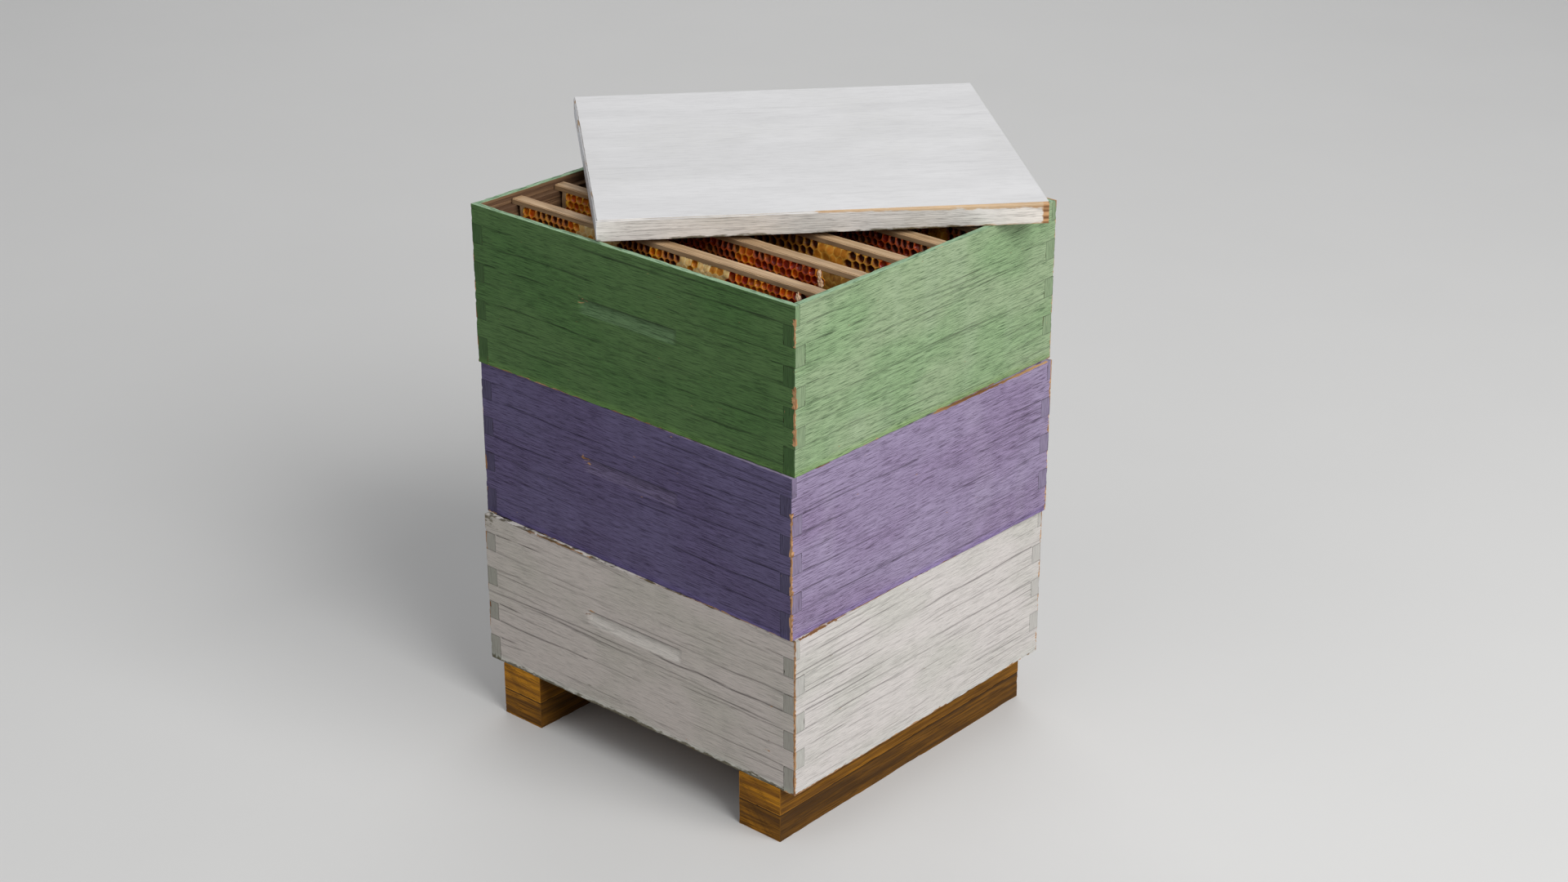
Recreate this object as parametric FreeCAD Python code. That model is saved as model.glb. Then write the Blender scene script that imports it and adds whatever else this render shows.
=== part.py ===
"""Stacked timber beehive: three finger-jointed boxes of hanging frames on two runners, with a loose lid.

Row frame, in millimetres: +Z up, Z 0 on the ground, origin under the centre of the bounding box.
The front face, with the handholds, looks along -Y, and the frames run along X.
Writes one STEP per sub-part to parts/NODE.step.
"""

import FreeCAD, Part
import math
import os

from FreeCAD import Vector

# ---- driving dimensions ----------------------------------------------------
BOX_WIDTH = 426.0  # along X, the face with the handhold
BOX_DEPTH = 392.0  # along Y
BOX_HEIGHT = 168.0
WALL = 14.0
FINGER = 20.0  # pitch of the corner joint, counted from the rim
LIP = 6.5  # wall left standing outside the frame rest
REST_DROP = 10.5  # rim to frame rest

HANDHOLD_WIDTH = 128.0
HANDHOLD_TOP = 62.0  # below the rim
HANDHOLD_HEIGHT = 16.0
HANDHOLD_DEPTH = 7.5

FRAME_COUNT = 6
FRAME_PITCH = 58.5
FRAME_SET_SHIFT = 5.0  # the set hangs a little towards the back
BAR_WIDTH = 13.0
TOP_BAR_HEIGHT = 5.5
END_PLAY = 1.0  # between a lug's end and the lip
SIDE_BAR_THICKNESS = 6.0
SIDE_BAR_GAP = 4.0  # between a side bar and the wall
FRAME_HEIGHT = 159.0
BOTTOM_BAR_HEIGHT = 6.0
BAR_EASE = 0.7  # chamfer along the upper edges of a top bar
COMB_THICKNESS = 18.0
COMB_SHOULDER = 10.0  # height over which the comb swells from bar to full thickness
COMB_END_GAP = 0.5

RUNNER_WIDTH = 54.0
RUNNER_BOARD = 30.0  # height of one of the two boards in a runner
RUNNER_LENGTH = 386.0
RUNNER_INSET = 18.5  # outer face of the box to outer face of the runner
FLOOR_THICKNESS = 9.0
FLOOR_HOUSING = 12.0  # rebate in the upper runner board
FLOOR_SET_BACK = 26.0  # from the front of the box; the slot behind the wall is the entrance
NAIL_RADIUS = 1.6
NAIL_LENGTH = 52.0
NAIL_HEAD_RADIUS = 3.6
NAIL_HEAD_HEIGHT = 1.5
NAIL_COUNT = 3

LID_LENGTH = 437.0
LID_WIDTH = 410.0
LID_THICKNESS = 21.5
LID_EDGE = 1.2  # chamfer round the upper edge
LID_TURN = 48.3  # degrees from square to the stack
LID_OFFSET = (-50.8, 110.0)  # lid centre from stack centre

# each box as it was set down: offset from the stack's centre, and turn in degrees
SEATS = {
    "bottom": (0.0, 0.0, 0.0),
    "middle": (0.9, 3.0, -1.2),
    "top": (-1.6, 3.5, -0.3),
}
LEVELS = ("bottom", "middle", "top")

# ---- derived ---------------------------------------------------------------
RUNNER_HEIGHT = 2 * RUNNER_BOARD
RIM_Z = RUNNER_HEIGHT + len(LEVELS) * BOX_HEIGHT
TOP_BAR_LENGTH = BOX_WIDTH - 2 * (LIP + END_PLAY)
FRAME_HALF = BOX_WIDTH / 2 - WALL - SIDE_BAR_GAP
TOP_BAR_UNDER = BOX_HEIGHT - REST_DROP
FRAME_BOTTOM = TOP_BAR_UNDER + TOP_BAR_HEIGHT - FRAME_HEIGHT
FINGER_BANDS = 7  # full fingers; the lowest band takes what is left
EPS = 1.0  # how far a cutting tool runs past a face


def stack_centre():
    """Where the stack's centre lies once the bounding box of everything is centred on the origin."""
    turn = math.radians(LID_TURN)
    half_x = (LID_LENGTH * math.cos(turn) + LID_WIDTH * math.sin(turn)) / 2
    half_y = (LID_LENGTH * math.sin(turn) + LID_WIDTH * math.cos(turn)) / 2
    low_x = LID_OFFSET[0] - half_x
    high_x = LID_OFFSET[0] + half_x
    high_y = LID_OFFSET[1] + half_y
    low_y = min(box_low_y(*SEATS[level]) for level in LEVELS)
    return Vector(-(low_x + high_x) / 2, -(low_y + high_y) / 2, 0)


def box_low_y(_, dy, turn):
    """Lowest Y of a box set down with this offset and turn."""
    angle = math.radians(abs(turn))
    return dy - (BOX_WIDTH * math.sin(angle) + BOX_DEPTH * math.cos(angle)) / 2


def block(x0, x1, y0, y1, z0, z1):
    """Rectangular solid between two corners."""
    return Part.makeBox(x1 - x0, y1 - y0, z1 - z0, Vector(x0, y0, z0))


def prism(outline, direction):
    """Solid swept from a closed outline of points along a vector."""
    wire = Part.makePolygon([Vector(*p) for p in outline] + [Vector(*outline[0])])
    return Part.Face(wire).extrude(Vector(*direction))


# ---- hive boxes ------------------------------------------------------------
def finger_bands():
    """(low z, high z, whether the front and back boards own it) from the rim down."""
    bands = []
    top = BOX_HEIGHT
    for i in range(FINGER_BANDS):
        bands.append((top - FINGER, top, i % 2 == 0))
        top -= FINGER
    bands.append((0.0, top, False))
    return bands


def rest_cut():
    """The rebate round the inside of the rim, where the frames' lugs hang."""
    x = BOX_WIDTH / 2 - LIP
    y = BOX_DEPTH / 2 - LIP
    return block(-x, x, -y, y, BOX_HEIGHT - REST_DROP, BOX_HEIGHT + EPS)


def handhold_cut():
    """Wedge cut into the front face: deep under its upper edge, running out below."""
    face = -BOX_DEPTH / 2
    high = BOX_HEIGHT - HANDHOLD_TOP
    low = high - HANDHOLD_HEIGHT
    x = -HANDHOLD_WIDTH / 2
    outline = [
        (x, face - EPS, high),
        (x, face + HANDHOLD_DEPTH, high),
        (x, face + HANDHOLD_DEPTH, high - HANDHOLD_HEIGHT / 4),
        (x, face, low),
        (x, face - EPS, low),
    ]
    return prism(outline, (HANDHOLD_WIDTH, 0, 0))


def front_board():
    """Board with the handhold. Its top finger is only as thick as the lip."""
    half_x = BOX_WIDTH / 2
    face = -BOX_DEPTH / 2
    board = block(-half_x, half_x, face, face + WALL, 0, BOX_HEIGHT)
    for low, high, front_owns in finger_bands():
        top_band = high == BOX_HEIGHT
        if front_owns and not top_band:
            continue
        start = face + LIP if top_band else face - EPS
        for side in (-1, 1):
            ends = sorted((side * (half_x - WALL), side * (half_x + EPS)))
            board = board.cut(block(*ends, start, face + WALL + EPS, low, high))
    return board.cut(rest_cut()).cut(handhold_cut())


def side_board():
    """Board on the +X side, which carries the frames' lugs."""
    half_x = BOX_WIDTH / 2
    half_y = BOX_DEPTH / 2
    board = block(half_x - WALL, half_x, -half_y, half_y, 0, BOX_HEIGHT)
    for low, high, front_owns in finger_bands():
        if not front_owns:
            continue
        bite = LIP if high == BOX_HEIGHT else WALL
        for side in (-1, 1):
            ends = sorted((side * (half_y - bite), side * (half_y + EPS)))
            board = board.cut(block(half_x - WALL - EPS, half_x + EPS, *ends, low, high))
    return board.cut(rest_cut())


def turned(shape, degrees):
    """Copy of a shape turned about the vertical axis through the origin."""
    copy = shape.copy()
    copy.rotate(Vector(0, 0, 0), Vector(0, 0, 1), degrees)
    return copy


def box_boards():
    """The four boards of one box, centred on the Z axis, standing on Z 0."""
    front = front_board()
    right = side_board()
    return {
        "front_board": front,
        "back_board": turned(front, 180),
        "left_board": turned(right, 180),
        "right_board": right,
    }


# ---- frames ----------------------------------------------------------------
def top_bar():
    """Bar with a lug at each end and eased upper edges."""
    half = BAR_WIDTH / 2
    low = TOP_BAR_UNDER
    high = low + TOP_BAR_HEIGHT
    x = -TOP_BAR_LENGTH / 2
    outline = [
        (x, -half, low),
        (x, half, low),
        (x, half, high - BAR_EASE),
        (x, half - BAR_EASE, high),
        (x, -half + BAR_EASE, high),
        (x, -half, high - BAR_EASE),
    ]
    return prism(outline, (TOP_BAR_LENGTH, 0, 0))


def side_bar(side):
    """Upright at one end of the frame, under the top bar."""
    ends = sorted((side * FRAME_HALF, side * (FRAME_HALF - SIDE_BAR_THICKNESS)))
    return block(*ends, -BAR_WIDTH / 2, BAR_WIDTH / 2, FRAME_BOTTOM, TOP_BAR_UNDER)


def bottom_bar():
    """Bar between the feet of the two side bars."""
    x = FRAME_HALF - SIDE_BAR_THICKNESS
    half = BAR_WIDTH / 2
    return block(-x, x, -half, half, FRAME_BOTTOM, FRAME_BOTTOM + BOTTOM_BAR_HEIGHT)


def comb():
    """Wax comb that fills the frame: bar thickness at top and bottom, swollen between."""
    x = FRAME_HALF - SIDE_BAR_THICKNESS - COMB_END_GAP
    low = FRAME_BOTTOM + BOTTOM_BAR_HEIGHT
    high = TOP_BAR_UNDER
    thin = BAR_WIDTH / 2 - 1
    thick = COMB_THICKNESS / 2
    outline = [
        (-x, -thin, low),
        (-x, thin, low),
        (-x, thick, low + COMB_SHOULDER),
        (-x, thick, high - COMB_SHOULDER),
        (-x, thin, high),
        (-x, -thin, high),
        (-x, -thick, high - COMB_SHOULDER),
        (-x, -thick, low + COMB_SHOULDER),
    ]
    return prism(outline, (2 * x, 0, 0))


def frame_parts():
    """The pieces of one frame, centred on the Z axis in a box that stands on Z 0."""
    return {
        "top_bar": top_bar(),
        "left_side_bar": side_bar(-1),
        "right_side_bar": side_bar(1),
        "bottom_bar": bottom_bar(),
        "comb": comb(),
    }


def frame_y(index):
    """Y of a frame in its box, the first one nearest the front."""
    return (index - (FRAME_COUNT - 1) / 2) * FRAME_PITCH + FRAME_SET_SHIFT


def moved(shape, x, y, z):
    """Copy of a shape moved by a vector."""
    copy = shape.copy()
    copy.translate(Vector(x, y, z))
    return copy


# ---- stand -----------------------------------------------------------------
def runner_x():
    """Centre line of the right-hand runner."""
    return BOX_WIDTH / 2 - RUNNER_INSET - RUNNER_WIDTH / 2


def runner_block(low, high):
    """One board of the right-hand runner, its front end flush with the box."""
    x = runner_x()
    front = -BOX_DEPTH / 2
    half = RUNNER_WIDTH / 2
    return block(x - half, x + half, front, front + RUNNER_LENGTH, low, high)


def floor_panel():
    """Panel housed in the upper runner boards, level with their tops."""
    x = runner_x() - RUNNER_WIDTH / 2 + FLOOR_HOUSING
    front = -BOX_DEPTH / 2 + FLOOR_SET_BACK
    back = -BOX_DEPTH / 2 + RUNNER_LENGTH - WALL
    low = RUNNER_HEIGHT - FLOOR_THICKNESS
    return block(-x, x, front, back, low, RUNNER_HEIGHT)


def nail(x, y):
    """Wire nail driven down through both boards of a runner, its head sunk flush."""
    head = Part.makeCylinder(
        NAIL_HEAD_RADIUS, NAIL_HEAD_HEIGHT, Vector(x, y, RUNNER_HEIGHT - NAIL_HEAD_HEIGHT)
    )
    tip = 2 * NAIL_RADIUS
    shank_length = NAIL_LENGTH - NAIL_HEAD_HEIGHT - tip
    shank_low = RUNNER_HEIGHT - NAIL_HEAD_HEIGHT - shank_length
    shank = Part.makeCylinder(NAIL_RADIUS, shank_length, Vector(x, y, shank_low))
    point = Part.makeCone(NAIL_RADIUS / 8, NAIL_RADIUS, tip, Vector(x, y, shank_low - tip))
    return head.fuse(shank).fuse(point).removeSplitter()


def runner_nails():
    """The nails of the right-hand runner, evenly spaced along it."""
    x = runner_x() + RUNNER_WIDTH / 6
    front = -BOX_DEPTH / 2
    step = RUNNER_LENGTH / NAIL_COUNT
    return Part.makeCompound([nail(x, front + (i + 0.5) * step) for i in range(NAIL_COUNT)])


def stand_parts():
    """The two runners of two boards each, the floor and the nails."""
    floor = floor_panel()
    upper = runner_block(RUNNER_BOARD, RUNNER_HEIGHT).cut(floor)
    lower = runner_block(0, RUNNER_BOARD)
    nails = runner_nails()
    upright = Vector(1, 0, 0)
    origin = Vector(0, 0, 0)
    return {
        "right_runner_upper": upper,
        "right_runner_lower": lower,
        "right_runner_nails": nails,
        "left_runner_upper": upper.mirror(origin, upright),
        "left_runner_lower": lower.mirror(origin, upright),
        "left_runner_nails": nails.mirror(origin, upright),
        "floor_panel": floor,
    }


# ---- lid -------------------------------------------------------------------
def lid_panel():
    """Flat lid, chamfered round its upper edge, skewed and pushed back on the rim."""
    panel = block(
        -LID_LENGTH / 2, LID_LENGTH / 2, -LID_WIDTH / 2, LID_WIDTH / 2, 0, LID_THICKNESS
    )
    upper = [
        edge
        for edge in panel.Edges
        if all(abs(v.Z - LID_THICKNESS) < 1e-6 for v in edge.Vertexes)
    ]
    panel = panel.makeChamfer(LID_EDGE, upper)
    return moved(turned(panel, LID_TURN), LID_OFFSET[0], LID_OFFSET[1], RIM_Z)


# ---- assembly --------------------------------------------------------------
def seated(shape, level):
    """A shape from a box's own frame, set down at that box's place in the stack."""
    dx, dy, turn = SEATS[level]
    base = RUNNER_HEIGHT + LEVELS.index(level) * BOX_HEIGHT
    return moved(turned(shape, turn), dx, dy, base)


def all_parts():
    """{node: shape} about the stack's centre. Frames of the covered boxes are grouped by piece."""
    nodes = {"lid_panel": lid_panel()}
    nodes.update(stand_parts())
    boards = box_boards()
    pieces = frame_parts()
    for level in LEVELS:
        for name, shape in boards.items():
            nodes[f"{level}_{name}"] = seated(shape, level)
    for i in range(FRAME_COUNT):
        for name, shape in pieces.items():
            nodes[f"top_frame_{i + 1}_{name}"] = seated(moved(shape, 0, frame_y(i), 0), "top")
    groups = {
        "top_bars": ["top_bar"],
        "side_bars": ["left_side_bar", "right_side_bar"],
        "bottom_bars": ["bottom_bar"],
        "combs": ["comb"],
    }
    for level in LEVELS[:-1]:
        for group, names in groups.items():
            shapes = [
                moved(pieces[name], 0, frame_y(i), 0) for i in range(FRAME_COUNT) for name in names
            ]
            nodes[f"{level}_frame_{group}"] = seated(Part.makeCompound(shapes), level)
    return nodes


def main():
    os.makedirs("parts", exist_ok=True)
    centre = stack_centre()
    print("stack centre", round(centre.x, 3), round(centre.y, 3))
    for name, shape in all_parts().items():
        placed = shape.copy()
        placed.translate(centre)
        placed.exportStep(f"parts/{name}.step")


main()
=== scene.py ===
"""Looks of the stacked timber beehive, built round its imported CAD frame.

Every timber piece is a dense copy of its CAD node, with grooved grain, worn arrises and paint that has gone
at the edges. Every comb is drawn out cell by cell. Lengths are in metres, in the row frame.
"""

import math

import bmesh
import bpy
import numpy as np
from mathutils import Matrix, Vector
from mathutils.bvhtree import BVHTree


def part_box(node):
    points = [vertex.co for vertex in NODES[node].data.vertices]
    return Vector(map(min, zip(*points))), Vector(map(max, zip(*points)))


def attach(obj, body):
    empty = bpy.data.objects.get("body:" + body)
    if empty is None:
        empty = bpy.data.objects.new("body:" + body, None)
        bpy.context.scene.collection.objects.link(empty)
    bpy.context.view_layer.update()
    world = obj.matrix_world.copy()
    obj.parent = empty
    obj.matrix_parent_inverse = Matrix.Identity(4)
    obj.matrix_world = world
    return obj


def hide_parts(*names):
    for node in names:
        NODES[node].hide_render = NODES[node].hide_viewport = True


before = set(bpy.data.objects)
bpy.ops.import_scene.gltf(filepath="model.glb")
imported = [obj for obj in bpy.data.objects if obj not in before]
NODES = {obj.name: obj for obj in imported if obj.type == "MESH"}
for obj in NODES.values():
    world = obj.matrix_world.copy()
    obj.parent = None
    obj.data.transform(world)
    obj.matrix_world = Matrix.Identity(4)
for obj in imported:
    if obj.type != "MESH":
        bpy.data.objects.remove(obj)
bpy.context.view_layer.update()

MM = 0.001
SAME = 0.01 * MM  # places closer than this are one
LEVELS = ("bottom", "middle", "top")
WALLS = ("front", "back", "left", "right")
FRAME_COUNT = 6

# ---- camera, floor and lamps ----
VIEW_AZIMUTH = 41.25  # degrees round to the right of the front
VIEW_ELEVATION = 23.95
VIEW_DISTANCE = 2.717  # to the point aimed at
VIEW_LENS = 60.8
AIM_FROM_STACK = Vector((0.0155, 0.0136, 0.3071))  # from the ground under the bottom box's centre
FLOOR_HALF = 30.0
SKY_STRENGTH = 0.26
LAMP_DISTANCE = 5.0
# name, azimuth and elevation as for the camera, size, power
LAMPS = (("key", 85, 42, 3.4, 245), ("front", -8, 48, 4.0, 30), ("back", 222, 38, 3.6, 60))

# ---- timber ----
GRAIN_STEP = 6.0 * MM  # mesh spacing along the grain
CROSS_STEP = 1.0 * MM  # mesh spacing across the grain
THICK_STEP = 4.0 * MM  # mesh spacing through a board
ARRIS_STEPS = (0.8 * MM, 2.2 * MM)  # extra rows beside every edge
SAMPLE_SHARE = (0.08, 0.08, 0.55)  # where in a block it is tested for timber, clear of cut corners
HANDHOLD_DEPTH = 3.5 * MM
HANDHOLD_HALF = 70 * MM  # only the handhold's corners lie this near a board's middle
HANDHOLD_HEIGHTS = (80 * MM, 110 * MM)  # and between these heights
FINGER_PITCH = 20.0 * MM  # of the corner joints, counted from the rim
FINGER_LINES = 7
JOINT_LENGTH = 15 * MM  # of the corner joints, along a board
SKIN = 0.4 * MM  # how deep a board's outer face counts as face
LIP_WIDTH = 7 * MM  # of the painted rim

# ---- comb ----
OPEN_DEPTH = 7.0 * MM
HONEY_DEPTH = 1.6 * MM
COMB_THIN, COMB_THICK = 0.66, 0.94  # share of its CAD slab a comb fills at the bars and between them
KNOB_FACE = 0.36  # how far a knob sits in front of the comb's middle, as a share of the slab's thickness
CELL_PITCHES = {3: 9.6 * MM}  # across the cells, in one comb of the top box
USUAL_PITCH = 8.0 * MM  # in the others there
COVERED_PITCH = 11 * MM  # in the covered boxes
# how much of a cell's rim, wall and floor colour each of its rings has, from the rim inwards
SHADING = ((1.0, 0.0, 0.0), (0.6, 0.4, 0.0), (0.0, 0.6, 0.4), (0.0, 0.0, 1.0))


# ==== numbers ====
def lattice_noise(x, y, seed, size=64):
    """Smooth noise from 0 to 1 on a repeating lattice of random numbers."""
    table = np.random.default_rng(seed).random((size, size))
    ix, iy = np.floor(x).astype(int), np.floor(y).astype(int)
    fx, fy = x - ix, y - iy
    fx, fy = fx * fx * (3 - 2 * fx), fy * fy * (3 - 2 * fy)
    a, b = table[ix % size, iy % size], table[(ix + 1) % size, iy % size]
    c, d = table[ix % size, (iy + 1) % size], table[(ix + 1) % size, (iy + 1) % size]
    return (a * (1 - fx) + b * fx) * (1 - fy) + (c * (1 - fx) + d * fx) * fy


def rough_noise(x, y, seed, octaves=3):
    """Several octaves of lattice noise, from 0 to 1."""
    total, weight = np.zeros_like(x), 0.0
    for k in range(octaves):
        total += lattice_noise(x * 2**k, y * 2**k, seed + 17 * k) / 2**k
        weight += 1 / 2**k
    return total / weight


def ramp(value, low, high):
    """0 below low, 1 above high, smooth between."""
    t = np.clip((value - low) / (high - low), 0, 1)
    return t * t * (3 - 2 * t)


# ==== places, read from the frame ====
def bounds_of(names):
    """Lowest and highest corner of several CAD nodes."""
    boxes = [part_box(n) for n in names]
    low = Vector([min(b[0][k] for b in boxes) for k in range(3)])
    high = Vector([max(b[1][k] for b in boxes) for k in range(3)])
    return low, high


def mesh_points(node):
    """The corners of a CAD node's mesh, each once."""
    return sorted({tuple(round(c, 6) for c in v.co) for v in NODES[node].data.vertices})


def turn_of(node):
    """How far a board or panel is turned about the vertical, from its two lowest front corners."""
    points = mesh_points(node)
    floor = min(p[2] for p in points)
    low = sorted(p for p in points if p[2] < floor + SAME)
    left, right = min(low[:2], key=lambda p: p[1]), min(low[-2:], key=lambda p: p[1])
    return math.atan2(right[1] - left[1], right[0] - left[0])


def seat_of(level):
    """Matrix from a box's own frame (its centre, its underside) to the row frame."""
    low, high = bounds_of([f"{level}_{wall}_board" for wall in WALLS])
    centre = (low + high) / 2
    place = Matrix.Translation((centre.x, centre.y, low.z))
    return place @ Matrix.Rotation(turn_of(f"{level}_front_board"), 4, "Z")


def lid_seat():
    """Matrix from the lid's own frame (its centre, its underside) to the row frame."""
    points = mesh_points("lid_panel")
    floor = min(p[2] for p in points)
    corners = [Vector(p) for p in points if p[2] < floor + SAME]
    centre = sum(corners, Vector()) / len(corners)
    front = min(corners, key=lambda c: c.y)
    right = max(corners, key=lambda c: c.x)
    angle = math.atan2(right.y - front.y, right.x - front.x)
    return Matrix.Translation(centre) @ Matrix.Rotation(angle, 4, "Z")


SEATS = {level: seat_of(level) for level in LEVELS}
SEATS["lid"] = lid_seat()
STACK = Matrix.Translation((SEATS["bottom"].translation.x, SEATS["bottom"].translation.y, 0))
SEATS["stand"] = STACK


# ==== timber meshes ====
def seated_mesh(node, seat):
    """Copy of a CAD node's mesh in a seat's own frame."""
    mesh = NODES[node].data.copy()
    mesh.transform(seat.inverted())
    return mesh


def inside_test(mesh):
    """Function that says whether a point is inside a closed mesh."""
    points = [v.co.copy() for v in mesh.vertices]
    tree = BVHTree.FromPolygons(points, [tuple(p.vertices) for p in mesh.polygons])
    direction = Vector((0.0131, 0.0097, 1.0)).normalized()

    def inside(point):
        hits, start = 0, Vector(point)
        for _ in range(200):
            place, _, _, _ = tree.ray_cast(start, direction)
            if place is None:
                break
            hits += 1
            start = place + direction * SAME
        return hits % 2 == 1

    return inside


def finer(edges, step):
    """Places between feature places, closer beside each feature, no more than a step apart."""
    places = []
    for low, high in zip(edges[:-1], edges[1:]):
        places.append(low)
        span = high - low
        inner = [low + a for a in ARRIS_STEPS if a < span / 2.2]
        outer = [high - a for a in reversed(ARRIS_STEPS) if a < span / 2.2]
        start, end = (inner or [low])[-1], (outer or [high])[0]
        count = max(1, math.ceil((end - start) / step - 0.01))
        middle = [start + (end - start) * i / count for i in range(1, count)]
        places += inner + middle + outer
    places.append(edges[-1])
    return np.array(places)


def blocky_copy(node, seat, steps, ignore=None):
    """Quad mesh of a CAD node made of square blocks: points in the seat's frame, quads, their axes and sides.

    The node's own corners give the planes, and steps the spacing between them on each axis. Corners for which
    ignore says yes give no planes."""
    mesh = seated_mesh(node, seat)
    corners = sorted({tuple(round(c, 5) for c in v.co) for v in mesh.vertices})
    kept = [c for c in corners if not (ignore and ignore(c))]
    planes = [sorted({c[k] for c in kept}) for k in range(3)]
    planes = [[p for i, p in enumerate(ps) if i == 0 or p - ps[i - 1] > 0.03 * MM] for ps in planes]
    inside = inside_test(mesh)
    counts = [len(p) - 1 for p in planes]
    solid = np.zeros(counts, bool)
    for index in np.ndindex(*counts):
        spans = [(planes[k][i], planes[k][i + 1], SAMPLE_SHARE[k]) for k, i in enumerate(index)]
        solid[index] = inside([low * (1 - share) + high * share for low, high, share in spans])
    bpy.data.meshes.remove(mesh)
    fine = [finer(p, s) for p, s in zip(planes, steps)]
    for k in range(3):
        middles = (fine[k][:-1] + fine[k][1:]) / 2
        owner = np.clip(np.searchsorted(planes[k], middles) - 1, 0, counts[k] - 1)
        solid = np.take(solid, owner, axis=k)
    return skin_of(solid, fine)


def skin_of(solid, fine):
    """Outer quads of a block lattice."""
    padded = np.pad(solid, 1)
    core = tuple(slice(1, -1) for _ in range(3))
    shape = tuple(n + 1 for n in solid.shape)
    quads, axes, sides = [], [], []
    for axis in range(3):
        b, c = [k for k in range(3) if k != axis]
        for side in (-1, 1):
            bare = padded[core] & ~np.roll(padded, -side, axis=axis)[core]
            cell = np.argwhere(bare)
            base = cell.copy()
            base[:, axis] += side > 0
            ring = []
            for db, dc in ((0, 0), (1, 0), (1, 1), (0, 1)):
                corner = base.copy()
                corner[:, b] += db
                corner[:, c] += dc
                ring.append(np.ravel_multi_index(corner.T, shape))
            flip = (side < 0) != (axis == 1)
            quads.append(np.stack(ring[::-1] if flip else ring, axis=1))
            axes.append(np.full(len(cell), axis))
            sides.append(np.full(len(cell), side))
    quads = np.concatenate(quads)
    used, quads = np.unique(quads, return_inverse=True)
    quads = quads.reshape(-1, 4)
    index = np.array(np.unravel_index(used, shape)).T
    points = np.stack([fine[k][index[:, k]] for k in range(3)], axis=1)
    return points, quads, np.concatenate(axes), np.concatenate(sides)


def outward(points, quads, axes, sides):
    """Sum of the distinct face directions at each point, one row per point."""
    seen = np.zeros((len(points), 3, 2))
    for k in range(4):
        seen[quads[:, k], axes, (sides > 0).astype(int)] = 1
    return seen[:, :, 1] - seen[:, :, 0]


def groove_field(u, v, seed, count, length, width, depth):
    """Depth of many long thin cracks, at places u along the grain and v across it."""
    rng = np.random.default_rng(seed)
    deep = np.zeros_like(u)
    u0, u1, v0, v1 = u.min(), u.max(), v.min(), v.max()
    for _ in range(count):
        cu, cv = rng.uniform(u0, u1), rng.uniform(v0, v1)
        half = rng.uniform(*length) / 2
        thick = rng.uniform(*width)
        slope, bow = rng.normal(0, 0.012), rng.normal(0, 0.9 * MM)
        t = (u - cu) / half
        line = cv + slope * (u - cu) + bow * np.sin(2.2 * t + cu * 40)
        taper = np.clip(1 - t * t, 0, 1)
        deep = np.maximum(deep, rng.uniform(*depth) * taper * np.exp(-(((v - line) / thick) ** 2)))
    return deep


def make_object(name, points, quads):
    """New mesh object from arrays of points and faces."""
    mesh = bpy.data.meshes.new(name)
    mesh.from_pydata(points.tolist(), [], quads.tolist())
    mesh.validate()
    return linked(bpy.data.objects.new(name, mesh))


def linked(obj):
    """The object, put in the scene."""
    bpy.context.scene.collection.objects.link(obj)
    return obj


def smooth_object(name, bm, seat):
    """Smooth mesh object from a bmesh in a seat's own frame, which is used up."""
    bm.transform(seat)
    mesh = bpy.data.meshes.new(name)
    bm.to_mesh(mesh)
    bm.free()
    mesh.shade_smooth()
    return linked(bpy.data.objects.new(name, mesh))


def store(obj, **marks):
    """Stores named marks on a mesh, each one number or one vector per point."""
    for name, values in marks.items():
        values = np.asarray(values, np.float32)
        kind, field = ("FLOAT_VECTOR", "vector") if values.ndim == 2 else ("FLOAT", "value")
        obj.data.attributes.new(name, kind, "POINT").data.foreach_set(field, values.ravel())


def to_row(points, seat):
    """Points from a seat's own frame to the row frame."""
    m = np.array(seat)
    return points @ m[:3, :3].T + m[:3, 3]


def ease_edges(obj, width):
    """Rounds the sharp edges of a piece."""
    bevel = obj.modifiers.new("arris", "BEVEL")
    bevel.width = width
    bevel.segments = 2
    bevel.limit_method = "ANGLE"
    bevel.angle_limit = math.radians(62)
    bevel.harden_normals = False


def finish_piece(obj, material, body, nodes, slot, ease=None):
    """Last steps of a piece: material, eased edges, body and the CAD nodes it stands for. slot is not used.
    """
    obj.data.materials.append(material)
    if ease:
        ease_edges(obj, ease)
    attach(obj, body)
    if nodes:
        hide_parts(*nodes)


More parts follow.
